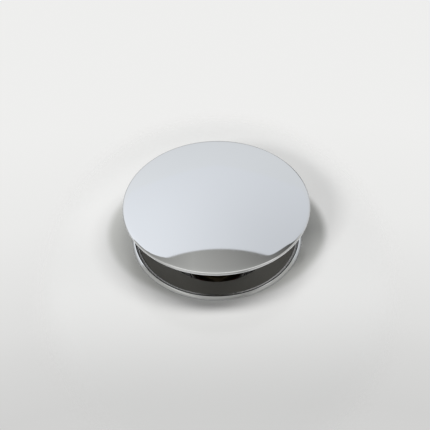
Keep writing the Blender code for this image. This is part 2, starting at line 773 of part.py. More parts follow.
def make_flange_gasket():
    """Conical ring that follows the flange's underside."""
    inner = shank_fit_radius
    outer = inner + GASKET_WIDTH
    gap = FIT_GAP * math.sqrt(1 + under_slope**2)
    inner_top = -NECK_DEPTH + (inner - SHANK_RADIUS) * under_slope - gap
    outer_top = -NECK_DEPTH + (outer - SHANK_RADIUS) * under_slope - gap
    outline = [
        (inner, inner_top),
        (outer, outer_top),
        (outer, outer_top - GASKET_THICKNESS),
        (inner, inner_top - GASKET_THICKNESS),
    ]
    return turned("flange_gasket", outline, 0, RUBBER, MEDIUM_SEGMENTS)


def make_tapered_washer():
    base_radius = shank_fit_radius + TAPER_BASE_WALL
    top_radius = shank_fit_radius + TAPER_TOP_WALL
    outline = [
        (shank_fit_radius, 0),
        (base_radius, 0),
        (base_radius, TAPER_BASE_HEIGHT),
        (top_radius, TAPER_BASE_HEIGHT + TAPER_HEIGHT),
        (shank_fit_radius, TAPER_BASE_HEIGHT + TAPER_HEIGHT),
    ]
    return turned("tapered_washer", outline, taper_foot, RUBBER, MEDIUM_SEGMENTS)


def make_friction_washer():
    return flat_ring(
        "friction_washer",
        shank_fit_radius,
        shank_fit_radius + FRICTION_WIDTH,
        friction_foot,
        FRICTION_THICKNESS,
        WHITE_PLASTIC,
        MEDIUM_SEGMENTS,
    )


def make_lock_nut():
    flats = 2 * (shank_fit_radius + NUT_WALL)
    nut = hexagon("lock_nut", flats, NUT_HEIGHT, nut_foot, BRASS)
    bored(nut, shank_fit_radius, nut_foot, nut_foot + NUT_HEIGHT, MEDIUM_SEGMENTS)
    return nut


def make_tailpiece():
    """Tube with a screwed upper end, a funnel mouth and a shoulder for its sealing ring."""
    bore = TAIL_RADIUS - TAIL_WALL
    thread_radius = throat_radius - FIT_GAP
    shoulder_radius = SHANK_RADIUS + TAIL_SHOULDER_OVERHANG
    thread_top = TAIL_THREAD_LENGTH - SHANK_LENGTH - shoulder_top
    tube_top = -TAIL_SHOULDER_HEIGHT - TAIL_TAPER_HEIGHT
    tube_foot = tube_top - TAIL_TUBE_LENGTH
    outline = [
        (bore, tube_foot),
        (TAIL_RADIUS, tube_foot),
        (TAIL_RADIUS, tube_top),
        (shoulder_radius, -TAIL_SHOULDER_HEIGHT),
        (shoulder_radius, 0),
        (thread_radius, 0),
        (thread_radius, thread_top),
        (thread_radius - TAIL_MOUTH_WALL, thread_top),
        (bore, thread_top / 2),
    ]
    return turned("tailpiece", outline, shoulder_top, CHROME, MEDIUM_SEGMENTS)


def make_tailpiece_o_ring():
    centre = throat_radius + TAIL_RING_RADIUS
    return ring("tailpiece_o_ring", centre, TAIL_RING_RADIUS, tail_ring_height, RUBBER, MEDIUM_SEGMENTS)


def slide_empty(name, height):
    empty = bpy.data.objects.new(name, None)
    empty.location.z = height
    bpy.context.scene.collection.objects.link(empty)
    return empty


def ride(empty, pieces):
    """Parents the pieces to the empty and leaves them where they stand."""
    for piece in pieces:
        piece.parent = empty
        piece.location.z -= empty.location.z


def build():
    clear_scene()
    stopper = [
        make_cap(),
        make_seal_carrier(),
        make_cap_seal(),
        make_cap_stud(),
        make_stud_washer(),
        make_stud_nut(),
        make_plunger(),
        make_rotor_clip(),
        make_latch_rotor(),
    ]
    ride(slide_empty("stopper_slide", CAP_LIFT), stopper)
    make_return_spring()
    make_spring_seat()
    make_cam_ring()
    make_cartridge_housing()
    make_cartridge_washer()
    make_cartridge_collar()
    make_gland_o_ring()
    make_end_plug()
    make_drain_body()
    make_flange_gasket()
    make_tapered_washer()
    make_friction_washer()
    make_lock_nut()
    make_tailpiece()
    make_tailpiece_o_ring()


build()
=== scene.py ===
# Looks for a push-type basin drain that stands open in a white glazed basin.
# Lengths are in millimetres unless a comment says otherwise. Outlines are (radius, height) pairs.

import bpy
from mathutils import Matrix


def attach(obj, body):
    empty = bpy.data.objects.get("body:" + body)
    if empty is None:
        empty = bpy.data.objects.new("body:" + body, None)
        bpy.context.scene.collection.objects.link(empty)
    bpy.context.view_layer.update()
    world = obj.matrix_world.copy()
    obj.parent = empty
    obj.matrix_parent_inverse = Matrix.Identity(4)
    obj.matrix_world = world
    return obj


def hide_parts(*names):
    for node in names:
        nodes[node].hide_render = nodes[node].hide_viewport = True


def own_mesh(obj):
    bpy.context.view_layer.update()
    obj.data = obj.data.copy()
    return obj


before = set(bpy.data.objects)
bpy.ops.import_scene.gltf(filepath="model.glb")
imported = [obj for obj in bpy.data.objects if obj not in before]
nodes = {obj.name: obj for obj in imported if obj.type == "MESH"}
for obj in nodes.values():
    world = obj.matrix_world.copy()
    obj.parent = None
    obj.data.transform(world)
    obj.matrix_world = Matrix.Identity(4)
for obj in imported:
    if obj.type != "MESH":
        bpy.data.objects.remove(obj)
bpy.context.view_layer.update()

import math

import bmesh
import bpy
from mathutils import Matrix, Quaternion, Vector

MM = 0.001
SMOOTH_ANGLE = math.radians(32)
WELD = 1e-7             # metres
ON_AXIS = 1e-6
CORNER_REACH_SHARE = 0.49
PATCH_SOFTNESS = 0.1


# Mesh helpers

def add_object(name, data):
    obj = bpy.data.objects.new(name, data)
    bpy.context.scene.collection.objects.link(obj)
    return obj


def finish_mesh(name, verts, faces, materials, zones=None):
    mesh = bpy.data.meshes.new(name)
    mesh.from_pydata(verts, [], faces)
    for material in materials:
        mesh.materials.append(material)
    if zones:
        mesh.polygons.foreach_set("material_index", zones)
    bm = bmesh.new()
    bm.from_mesh(mesh)
    bmesh.ops.remove_doubles(bm, verts=bm.verts, dist=WELD)
    bmesh.ops.recalc_face_normals(bm, faces=bm.faces)
    bm.to_mesh(mesh)
    bm.free()
    mesh.shade_smooth()
    mesh.set_sharp_from_angle(angle=SMOOTH_ANGLE)
    return add_object(name, mesh)


def bmesh_object(name, bm):
    mesh = bpy.data.meshes.new(name)
    bm.to_mesh(mesh)
    bm.free()
    return add_object(name, mesh)


def lathe(name, outline, materials, segments, zones=None, offset=None):
    """Turns a closed outline about the vertical axis. An outline may start and end on the axis."""
    verts = []
    faces = []
    marks = []
    rings = []
    for j, (radius, height) in enumerate(outline):
        if radius < ON_AXIS:
            rings.append([len(verts)])
            verts.append((0.0, 0.0, height * MM))
            continue
        ring = []
        for i in range(segments):
            angle = 2 * math.pi * i / segments
            r = radius + (offset(angle, height, j) if offset else 0.0)
            ring.append(len(verts))
            verts.append((r * MM * math.cos(angle), r * MM * math.sin(angle), height * MM))
        rings.append(ring)
    count = len(rings)
    last = count if outline[0][0] > ON_AXIS else count - 1
    for j in range(last):
        a, b = rings[j], rings[(j + 1) % count]
        zone = zones[j] if zones else 0
        for i in range(segments):
            k = (i + 1) % segments
            if len(a) == 1 and len(b) == 1:
                continue
            if len(a) == 1:
                faces.append((a[0], b[i], b[k]))
            elif len(b) == 1:
                faces.append((a[i], b[0], a[k]))
            else:
                faces.append((a[i], b[i], b[k], a[k]))
            marks.append(zone)
    return finish_mesh(name, verts, faces, materials, marks)


def arc(centre, radii, start, end, steps):
    """Points on an ellipse's arc, its angle in degrees from straight up towards the outside."""
    out = []
    for i in range(steps + 1):
        angle = math.radians(start + (end - start) * i / steps)
        out.append((centre[0] + radii[0] * math.sin(angle), centre[1] + radii[1] * math.cos(angle)))
    return out


def bend(start, corner, end, steps):
    """Points on a curve that leaves its start and meets its end along the two lines through the corner."""
    out = []
    for i in range(steps + 1):
        t = i / steps
        shares = ((1 - t) ** 2, 2 * t * (1 - t), t**2)
        out.append(tuple(sum(s * p for s, p in zip(shares, axis)) for axis in zip(start, corner, end)))
    return out


def rounded(corners, steps=4):
    """A closed outline from (radius, height, corner radius) triples."""
    out = []
    count = len(corners)
    for i, (x, y, size) in enumerate(corners):
        here = Vector((x, y))
        back = Vector(corners[i - 1][:2]) - here
        ahead = Vector(corners[(i + 1) % count][:2]) - here
        half = back.angle(ahead) / 2
        reach = min(size / math.tan(half), CORNER_REACH_SHARE * min(back.length, ahead.length))
        start = here + back.normalized() * reach
        end = here + ahead.normalized() * reach
        out += bend(start, here, end, steps)
    return out


def boolean(target, other, operation):
    bpy.context.view_layer.objects.active = target
    modifier = target.modifiers.new(other.name, "BOOLEAN")
    modifier.operation = operation
    modifier.solver = "EXACT"
    modifier.object = other
    graph = bpy.context.evaluated_depsgraph_get()
    made = bpy.data.meshes.new_from_object(target.evaluated_get(graph))
    target.modifiers.remove(modifier)
    old = target.data
    made.name = old.name + "_cut"
    target.data = made
    bpy.data.meshes.remove(old)
    bpy.data.objects.remove(other, do_unlink=True)
    made.shade_smooth()
    made.set_sharp_from_angle(angle=SMOOTH_ANGLE)


def fit(piece, node, body):
    """Puts a finished piece in the place of a node, on the body that carries it."""
    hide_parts(node)
    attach(piece, body)


# Material helpers

class Tree:
    """A few short calls for making shader nodes."""

    def __init__(self, tree):
        self.tree = tree

    def add(self, kind, sockets=None, **settings):
        node = self.tree.nodes.new(kind)
        for key, value in settings.items():
            setattr(node, key, value)
        for key, value in (sockets or {}).items():
            self.put(node.inputs[key], value)
        return node

    def put(self, socket, value):
        if isinstance(value, bpy.types.NodeSocket):
            self.tree.links.new(value, socket)
        else:
            socket.default_value = value

    def math(self, operation, a, b=0.0):
        return self.add("ShaderNodeMath", {0: a, 1: b}, operation=operation).outputs[0]

    def plus(self, a, b):
        return self.math("ADD", a, b)

    def minus(self, a, b):
        return self.math("SUBTRACT", a, b)

    def times(self, a, b):
        return self.math("MULTIPLY", a, b)

    def over(self, a, b):
        return self.math("DIVIDE", a, b)

    def larger(self, a, b):
        return self.math("MAXIMUM", a, b)

    def away(self, a, centre):
        """The distance from a centre, on either side."""
        return self.math("ABSOLUTE", self.minus(a, centre))

    def length(self, a, b):
        return self.math("SQRT", self.plus(self.times(a, a), self.times(b, b)))

    def blend(self, factor, off, on):
        """A mix of two numbers: off where the factor is nought, on where it is one."""
        return self.plus(self.times(on, factor), self.times(off, self.minus(1.0, factor)))

    def ramp(self, value, low, high, start=0.0, end=1.0, kind="SMOOTHSTEP"):
        node = self.add("ShaderNodeMapRange", interpolation_type=kind, clamp=True)
        for key, item in enumerate((value, low, high, start, end)):
            self.put(node.inputs[key], item)
        return node.outputs[0]

    def noise(self, scale, detail, roughness, vector, distortion=0.0):
        sockets = {"Vector": vector, "Scale": scale, "Detail": detail, "Roughness": roughness}
        sockets["Distortion"] = distortion
        return self.add("ShaderNodeTexNoise", sockets).outputs["Fac"]

    def place(self, stretch=(1, 1, 1)):
        coordinates = self.add("ShaderNodeTexCoord")
        mapping = self.add("ShaderNodeMapping", {"Vector": coordinates.outputs["Object"], "Scale": stretch})
        return mapping.outputs["Vector"]

    def axes(self, source="Object"):
        """The x, y and z of a place or a direction."""
        coordinates = self.add("ShaderNodeTexCoord").outputs[source]
        return self.add("ShaderNodeSeparateXYZ", {0: coordinates}).outputs

    def colour(self, factor, low, high):
        """A mix of two colours, each one a socket or three numbers."""
        node = self.add("ShaderNodeMix", data_type="RGBA")
        self.put(node.inputs["Factor"], factor)
        for key, value in ((6, low), (7, high)):
            self.put(node.inputs[key], value if isinstance(value, bpy.types.NodeSocket) else (*value, 1))
        return node.outputs[2]

    def tint(self, value, colour):
        return self.add("ShaderNodeVectorMath", {0: value, 1: colour}, operation="MULTIPLY").outputs[0]

    def patch(self, across, along, place, half):
        """One inside a soft-edged rectangle and nothing outside it."""
        factor = 1.0
        for value, centre, reach in zip((across, along), place, half):
            low = reach * (1 - PATCH_SOFTNESS)
            high = reach * (1 + PATCH_SOFTNESS)
            factor = self.times(factor, self.ramp(self.away(value, centre), low, high, 1.0, 0.0))
        return factor

    def bump(self, height, distance, strength=1.0):
        node = self.add("ShaderNodeBump", {"Height": height, "Strength": strength, "Distance": distance})
        return node.outputs["Normal"]

    def turned_marks(self, scale):
        """Fine rings left by turning: noise that is the same all round the axis."""
        x, y, z = self.axes()
        rings = self.add("ShaderNodeCombineXYZ", {0: self.length(x, y), 1: z, 2: 0.0}).outputs[0]
        return self.noise(scale, 2.0, 0.6, rings)


class Surface(Tree):
    """A material whose colour, gloss and relief come from nodes."""

    def __init__(self, name, metallic=0.0):
        self.material = bpy.data.materials.new(name)
        self.material.use_nodes = True
        super().__init__(self.material.node_tree)
        self.shader = self.tree.nodes["Principled BSDF"]
        self.shader.inputs["Metallic"].default_value = metallic

    def finish(self, colour, roughness, normal=None):
        self.put(self.shader.inputs["Base Color"], colour)
        self.put(self.shader.inputs["Roughness"], roughness)
        if normal is not None:
            self.put(self.shader.inputs["Normal"], normal)
        return self.material


# Materials

FINE_RELIEF = 0.02 * MM
GRAIN_RELIEF = 0.06 * MM
STRAND_RELIEF = 0.08 * MM
SHANK_MARKS = 0.012 * MM
ROUGH_MARKS = 0.02 * MM


def chrome(name, low, high, smooth, rough, marks=0.0):
    """Plated metal with slight shifts of tone and gloss, and turning marks of the given depth."""
    surface = Surface(name, 1.0)
    broad = surface.noise(45.0, 2.0, 0.5, surface.place())
    fine = surface.noise(900.0, 4.0, 0.6, surface.place((1, 0.35, 1)))
    tone = surface.colour(broad, low, high)
    gloss = surface.ramp(surface.times(fine, broad), 0.1, 0.45, smooth, rough, "LINEAR")
    if not marks:
        return surface.finish(tone, gloss)
    relief = surface.times(surface.turned_marks(2600.0), marks)
    return surface.finish(tone, gloss, surface.bump(relief, 1.0))


def brass(name, clean, stained, smooth, rough):
    """Turned brass that has tarnished in patches."""
    surface = Surface(name, 1.0)
    tarnish = surface.noise(130.0, 4.0, 0.6, surface.place())
    tone = surface.colour(tarnish, clean, stained)
    gloss = surface.ramp(tarnish, 0.3, 0.75, smooth, rough, "LINEAR")
    return surface.finish(tone, gloss, surface.bump(surface.turned_marks(3500.0), FINE_RELIEF, 0.6))


def steel(name, bright, dull):
    """Stainless steel with fine turning marks."""
    surface = Surface(name, 1.0)
    fine = surface.noise(1800.0, 3.0, 0.6, surface.place())
    tone = surface.colour(fine, bright, dull)
    gloss = surface.ramp(fine, 0.3, 0.7, 0.24, 0.36, "LINEAR")
    return surface.finish(tone, gloss, surface.bump(surface.turned_marks(4200.0), FINE_RELIEF, 0.5))


def rubber(name, dark, bloomed):
    """Moulded rubber with a fine grain and a pale bloom."""
    surface = Surface(name)
    grain = surface.noise(2600.0, 5.0, 0.65, surface.place())
    bloom = surface.noise(110.0, 3.0, 0.5, surface.place())
    tone = surface.colour(bloom, dark, bloomed)
    gloss = surface.ramp(bloom, 0.3, 0.7, 0.55, 0.75, "LINEAR")
    return surface.finish(tone, gloss, surface.bump(grain, GRAIN_RELIEF, 0.7))


def plastic(name, low, high, smooth=0.3, rough=0.42):
    """Moulded plastic with a very fine grain."""
    surface = Surface(name)
    grain = surface.noise(1900.0, 3.0, 0.55, surface.place())
    broad = surface.noise(90.0, 2.0, 0.5, surface.place())
    tone = surface.colour(broad, low, high)
    gloss = surface.ramp(broad, 0.3, 0.7, smooth, rough, "LINEAR")
    return surface.finish(tone, gloss, surface.bump(grain, FINE_RELIEF, 0.5))


def fibre(name, dark, pale):
    """Pressed fibre with its strands drawn out one way."""
    surface = Surface(name)
    strands = surface.noise(1500.0, 6.0, 0.7, surface.place((1, 0.3, 1)), 0.6)
    tone = surface.colour(strands, dark, pale)
    gloss = surface.ramp(strands, 0.3, 0.7, 0.7, 0.85, "LINEAR")
    return surface.finish(tone, gloss, surface.bump(strands, STRAND_RELIEF, 0.6))


MIRROR = chrome("mirror_chrome", (0.835, 0.845, 0.860), (0.850, 0.858, 0.872), 0.015, 0.045)
# Satin chrome for the dish, given a dark tone as painted shade under the cap.
SHADED_DISH_CHROME = chrome("dish_chrome_painted_shade", (0.385, 0.375, 0.348), (0.435, 0.425, 0.398), 0.58, 0.66)
SHANK_CHROME = chrome("shank_chrome", (0.72, 0.73, 0.745), (0.80, 0.81, 0.82), 0.10, 0.24, SHANK_MARKS)
# Duller chrome for the bead's outer flank. Its darker tone is a painted shade that stands in for the shaded
# basin it reflects.
SHADED_FLANK = chrome("flank_chrome_painted_shade", (0.60, 0.605, 0.61), (0.68, 0.685, 0.69), 0.10, 0.22)
SATIN = chrome("satin_chrome", (0.82, 0.825, 0.83), (0.87, 0.875, 0.88), 0.22, 0.34)
TAIL = chrome("tail_chrome", (0.80, 0.81, 0.825), (0.84, 0.85, 0.86), 0.03, 0.10)
# Unpolished chrome under the cap, made very dark as painted shade there.
INSIDE = chrome("unpolished_chrome_painted_shade", (0.10, 0.10, 0.10), (0.16, 0.16, 0.155), 0.40, 0.55, ROUGH_MARKS)
# Rough chrome in the bore, made dark as painted shade deep in the throat.
BORE = chrome("bore_chrome_painted_shade", (0.16, 0.155, 0.15), (0.24, 0.23, 0.22), 0.35, 0.5, ROUGH_MARKS)
BRASS = brass("turned_brass", (0.83, 0.66, 0.36), (0.60, 0.43, 0.19), 0.2, 0.4)
# Tarnished brass, made darker still as painted shade deep in the throat.
DARKENED_BRASS = brass("tarnished_brass_painted_shade", (0.24, 0.19, 0.12), (0.13, 0.10, 0.065), 0.35, 0.55)
STEEL = steel("stainless_steel", (0.66, 0.67, 0.69), (0.54, 0.55, 0.57))
RUBBER = rubber("black_rubber", (0.018, 0.018, 0.019), (0.040, 0.040, 0.041))
BLACK = plastic("black_plastic", (0.060, 0.060, 0.060), (0.080, 0.080, 0.080))
GREY = plastic("grey_acetal", (0.50, 0.51, 0.52), (0.58, 0.59, 0.60))
WHITE = plastic("white_acetal", (0.78, 0.79, 0.78), (0.85, 0.86, 0.84), 0.32, 0.45)
FIBRE = fibre("red_fibre", (0.15, 0.045, 0.03), (0.27, 0.10, 0.065))

# The cartridge's housing and collar take the brass darkened as painted shade.
CAD_FINISHES = {
    "cap_stud": BRASS, "plunger": GREY, "rotor_clip": STEEL, "latch_rotor": WHITE,
    "spring_seat": STEEL, "cam_ring": WHITE, "cartridge_housing": DARKENED_BRASS, "cartridge_washer": FIBRE,
    "cartridge_collar": DARKENED_BRASS, "gland_o_ring": RUBBER, "end_plug": BRASS,
}


def dress_cad():
    for name, material in CAD_FINISHES.items():
        mesh = nodes[name].data
        mesh.materials.clear()
        mesh.materials.append(material)


# Cap: a pressed dome that rolls over at its edge, with a boss for the stud

CAP_TOP = 19.7
CAP_WALL = 1.2
CAP_EDGE = (32.1, 15.9)
CAP_EDGE_ROUND = (0.9, 0.6)
CAP_EDGE_END = 270              # degrees round the edge, from its top
CAP_EDGE_STEPS = 30
HIDDEN_EDGE_STEPS = 5
CAP_STEPS = 900
CAP_RING_STEP = 1.2
CAP_RING_COUNT = 25
CAP_EDGE_RINGS = (29.6, 30.2, 30.7, 31.1, 31.5, 31.8, 32.05)
CAP_UNDERSIDE_SHARES = (0, 0.15, 0.3, 0.45, 0.6, 0.75, 0.9)
DOME_SLOPE = 0.376              # degrees for each millimetre from the centre
DOME_EASING = 6.59e-5
CAP_ROLL = ((30.7, 9.64), (31.6, 10.7), (32.36, 12.5))      # a radius and the slope there, in degrees
BOSS_RADIUS = 6.5
BOSS_FOOT = 15.0
BOSS_CHAMFER = 0.3
BOSS_EDGE = 7.0
BOSS_FILLET = ((0.8, 0.03), (0.2, 0.25), (0.0, 0.7))        # out from the boss and down from the shell
STUD_HOLE = 3.3
STUD_HOLE_TOP = 18.0
DRILL_POINT = 0.2


def cap_slope(radius):
    """The dome's slope in degrees, which steepens towards the rolled edge."""
    if radius <= CAP_ROLL[0][0]:
        return DOME_SLOPE * radius - DOME_EASING * radius**3
    for (r0, s0), (r1, s1) in zip(CAP_ROLL, CAP_ROLL[1:]):
        if radius <= r1:
            return s0 + (s1 - s0) * (radius - r0) / (r1 - r0)
    return CAP_ROLL[-1][1]


def cap_profile():
    """The dome's height as a function of radius, and the angle at which the rolled edge takes over."""
    across, up = CAP_EDGE_ROUND
    join = math.atan(math.tan(math.radians(CAP_ROLL[-1][1])) * across / up)
    step = (CAP_EDGE[0] + across * math.sin(join)) / CAP_STEPS
    heights = [0.0]
    for i in range(CAP_STEPS):
        heights.append(heights[-1] - math.tan(math.radians(cap_slope((i + 0.5) * step))) * step)
    fall_wanted = CAP_TOP - CAP_EDGE[1] - up * math.cos(join)
    stretch = fall_wanted / -heights[-1]

    def height(radius):
        place = min(radius / step, CAP_STEPS - 1e-6)
        i = int(place)
        fall = heights[i] + (heights[i + 1] - heights[i]) * (place - i)
        return CAP_TOP + fall * stretch

    return height, math.degrees(join)


def make_cap():
    height, join = cap_profile()
    radii = [CAP_RING_STEP * i for i in range(CAP_RING_COUNT)] + list(CAP_EDGE_RINGS)
    outline = [(r, height(r)) for r in radii]
    outline += arc(CAP_EDGE, CAP_EDGE_ROUND, join, CAP_EDGE_END, CAP_EDGE_STEPS)
    polished = len(outline) - HIDDEN_EDGE_STEPS
    inner = CAP_EDGE[0] - CAP_EDGE_ROUND[0] - CAP_WALL / 2
    for share in CAP_UNDERSIDE_SHARES:
        r = inner + (BOSS_EDGE - inner) * share
        outline.append((r, height(r) - CAP_WALL))
    under = height(BOSS_EDGE) - CAP_WALL
    outline += [(BOSS_RADIUS + out, under - down) for out, down in BOSS_FILLET]
    outline += [(BOSS_RADIUS, BOSS_FOOT + BOSS_CHAMFER), (BOSS_RADIUS - BOSS_CHAMFER, BOSS_FOOT)]
    outline += [(STUD_HOLE + BOSS_CHAMFER, BOSS_FOOT), (STUD_HOLE, BOSS_FOOT + BOSS_CHAMFER)]
    outline += [(STUD_HOLE, STUD_HOLE_TOP), (0, STUD_HOLE_TOP + DRILL_POINT)]
    # The underside of the cap takes the very dark chrome of painted shade.
    zones = [0] * polished + [1] * (len(outline) - polished)
    cap = lathe("domed_cap", outline, [MIRROR, INSIDE], 256, zones)
    fit(cap, "cap", "stopper")


# Body: rim, dish, threaded shank, overflow slots and spider

THROAT = 19.15
THROAT_ROUND = 0.8
SHANK = 20.95
SHANK_FOOT = -58.0
FOOT_CHAMFER_IN = 0.3
FOOT_CHAMFER_OUT = 0.45
BORE_ROWS = (SHANK_FOOT + FOOT_CHAMFER_IN, -40.0, -21.0, -12.0)
DISH_FOOT = (19.95, -2.9)
DISH_CURVE = 1.25
DISH_STEPS = 14
SHADE_SLIT = (0.45, 0.22)             # a slit in from the bead's foot and down from it, painted dark as shade
BEAD_FOOT = (28.55, 0.7)
SHOULDER = 0.35
CREST = (29.65, 1.4)
CREST_ROUND = 0.65
CREST_INSIDE = 22.5             # degrees that the crest turns each way from its top
CREST_OUTSIDE = 32.0
FLANGE = 30.8
RIM_CORNER = 0.3
UNDER_CORNER = (0.1, 0.12)
SEAT = 28.4
NECK_DEPTH = 4.6
NECK_FOOT = ((0.4, 0.25), (0.0, -0.4))      # out from the shank and up from the neck's depth
PITCH = 2.3
THREAD_DEPTH = 0.7
THREAD_TOP = -6.85
THREAD_FOOT = -55.15
THREAD_STEPS = 176
THREAD_STEEPNESS = 1.15
HUB_HOLE = 7.4
HUB_RADIUS = 10.3
HUB_TOP = -17.0
HUB_FOOT = -21.0
ARM_WIDTH = 3.0
ARM_HEIGHT = 3.2
ARM_EDGE = 0.5
ARM_BITE = 0.8
OVERRUN = 1.0
SLOT_INSIDE = 17.0
SLOT_REACH = 6.0
SLOT_ROUND = 4.0
SLOT_HALF = 2.25
SLOT_MIDDLE = -15.75

# The first finish also covers the walls of the overflow slots
BODY_FINISHES = [SHADED_DISH_CHROME, SHANK_CHROME, BORE, MIRROR, SHADED_FLANK, SATIN]


def thread_offset(rows):
    """How far the thread cuts into the given rows of the body's outline."""
    def offset(angle, height, row):
        if row not in rows:
            return 0.0
        phase = ((height - THREAD_TOP) / PITCH - angle / (2 * math.pi)) % 1.0
        crest = min(max((abs(2 * phase - 1) - 0.5) * THREAD_STEEPNESS + 0.5, 0.0), 1.0)
        fade = min((THREAD_TOP - height) / PITCH, (height - THREAD_FOOT) / PITCH, 1.0)
        return -THREAD_DEPTH * (1 - crest) * max(fade, 0.0)

    return offset


def rim_bead():
    """The raised bead round the rim in three runs: its inner shoulder, its crest and its outer flank."""
    centre = (CREST[0], CREST[1] - CREST_ROUND)
    crest = arc(centre, (CREST_ROUND, CREST_ROUND), -CREST_INSIDE, CREST_OUTSIDE, 12)
    fall = math.tan(math.radians(CREST_INSIDE))
    inner = BEAD_FOOT[0] + SHOULDER
    top = (inner, crest[0][1] - (crest[0][0] - inner) * fall)
    corner = (BEAD_FOOT[0], top[1] - SHOULDER * fall)
    shoulder = bend((BEAD_FOOT[0], corner[1] - SHOULDER / 2), corner, top, 6)
    corner = (FLANGE, crest[-1][1] - (FLANGE - crest[-1][0]) * math.tan(math.radians(CREST_OUTSIDE)))
    flank = bend(crest[-1], corner, (FLANGE, RIM_CORNER), 9)[1:]
    return shoulder, crest, flank


def body_outline():
    """The closed outline, the finish that each point's face has, and the rows that carry the thread."""
    outline = []
    finishes = []

    def run(points, finish):
        outline.extend(points)
        finishes.extend([finish] * len(points))

    run([(THROAT, height) for height in BORE_ROWS], BORE)
    lip = (DISH_FOOT[0], DISH_FOOT[1] - THROAT_ROUND)
    # The dish takes the chrome darkened as painted shade.
    run(arc(lip, (THROAT_ROUND, THROAT_ROUND), -90, 0, 8), SHADED_DISH_CHROME)
    wide = BEAD_FOOT[0] - DISH_FOOT[0]
    tall = BEAD_FOOT[1] - DISH_FOOT[1]
    shares = [i / DISH_STEPS for i in range(1, DISH_STEPS)]
    run([(DISH_FOOT[0] + wide * s, DISH_FOOT[1] + tall * s**DISH_CURVE) for s in shares], SHADED_DISH_CHROME)
    # The slit at the bead's foot takes the dark bore finish as painted shade.
    run([(BEAD_FOOT[0] - SHADE_SLIT[0], BEAD_FOOT[1] - SHADE_SLIT[1]), BEAD_FOOT], BORE)
    shoulder, crest, flank = rim_bead()
    run(shoulder + crest[:1], SATIN)
    run(crest[1:-1], MIRROR)
    # The outer flank takes the chrome darkened as painted shade.
    run(crest[-1:] + flank[:-1], SHADED_FLANK)
    underside = [(FLANGE, UNDER_CORNER[1]), (FLANGE - UNDER_CORNER[0], 0.0), (SEAT, 0.0)]
    underside += [(SHANK + out, -NECK_DEPTH + up) for out, up in NECK_FOOT]
    run(flank[-1:] + underside, SHANK_CHROME)
    first = len(outline)
    drop = THREAD_FOOT - THREAD_TOP
    run([(SHANK, THREAD_TOP + drop * i / THREAD_STEPS) for i in range(THREAD_STEPS + 1)], SHANK_CHROME)
    rows = range(first, len(outline))
    run([(SHANK - FOOT_CHAMFER_OUT, SHANK_FOOT)], SHANK_CHROME)
    run([(THROAT + FOOT_CHAMFER_IN, SHANK_FOOT)], BORE)
    return outline, finishes, rows


def spider_arm(turn):
    """A bar across the throat, with its edges rounded."""
    size = (2 * (THROAT + ARM_BITE), ARM_WIDTH, ARM_HEIGHT)
    middle = (0, 0, (HUB_TOP + HUB_FOOT) / 2)
    bm = bmesh.new()
    bmesh.ops.create_cube(bm, size=1)
    bmesh.ops.scale(bm, vec=[s * MM for s in size], verts=bm.verts)
    bmesh.ops.bevel(bm, geom=list(bm.edges), offset=ARM_EDGE * MM, segments=3, affect="EDGES", profile=0.5)
    bmesh.ops.rotate(bm, cent=(0, 0, 0), matrix=Matrix.Rotation(turn, 3, "Z"), verts=bm.verts)
    bmesh.ops.translate(bm, vec=[m * MM for m in middle], verts=bm.verts)
    return bmesh_object("arm", bm)


def spider():
    """The hub that carries the cartridge, on two bars across the throat."""
    corners = [
        (HUB_HOLE, HUB_FOOT, 0.4), (HUB_RADIUS, HUB_FOOT, 0.6), (HUB_RADIUS, HUB_TOP, 0.6),
        (HUB_HOLE, HUB_TOP, 0.4),
    ]
    hub = lathe("hub", rounded(corners), [BORE], 64)
    for turn in (45, 135):
        boolean(hub, spider_arm(math.radians(turn)), "UNION")
    low = HUB_FOOT - OVERRUN
    high = HUB_TOP + OVERRUN
    core = lathe("core", [(0, low), (HUB_HOLE, low), (HUB_HOLE, high), (0, high)], [BORE], 64)
    boolean(hub, core, "DIFFERENCE")
    return hub


def slot_cutter(side):
    """An upright round-ended prism that cuts one overflow slot, on the side of plus or minus x."""
    bm = bmesh.new()
    verts = []
    for height, start in ((SLOT_HALF, -90), (-SLOT_HALF, 90)):
        for across, up in arc((0, height), (SLOT_ROUND, SLOT_ROUND), start, start + 180, 14):
            verts.append(bm.verts.new((side * SLOT_INSIDE * MM, across * MM, (up + SLOT_MIDDLE) * MM)))
    face = bm.faces.new(verts)
    grown = bmesh.ops.extrude_face_region(bm, geom=[face])["geom"]
    moved = [item for item in grown if isinstance(item, bmesh.types.BMVert)]
    bmesh.ops.translate(bm, vec=(side * SLOT_REACH * MM, 0, 0), verts=moved)
    bmesh.ops.recalc_face_normals(bm, faces=bm.faces)
    return bmesh_object("slot", bm)


def make_body():
    outline, finishes, rows = body_outline()
    zones = [BODY_FINISHES.index(finish) for finish in finishes]
    body = lathe("flanged_body", outline, BODY_FINISHES, 160, zones, thread_offset(rows))
    boolean(body, spider(), "UNION")
    for side in (1, -1):
        boolean(body, slot_cutter(side), "DIFFERENCE")
    fit(body, "drain_body", "drain")


# Turned pieces: outlines are (radius, height, corner radius) triples

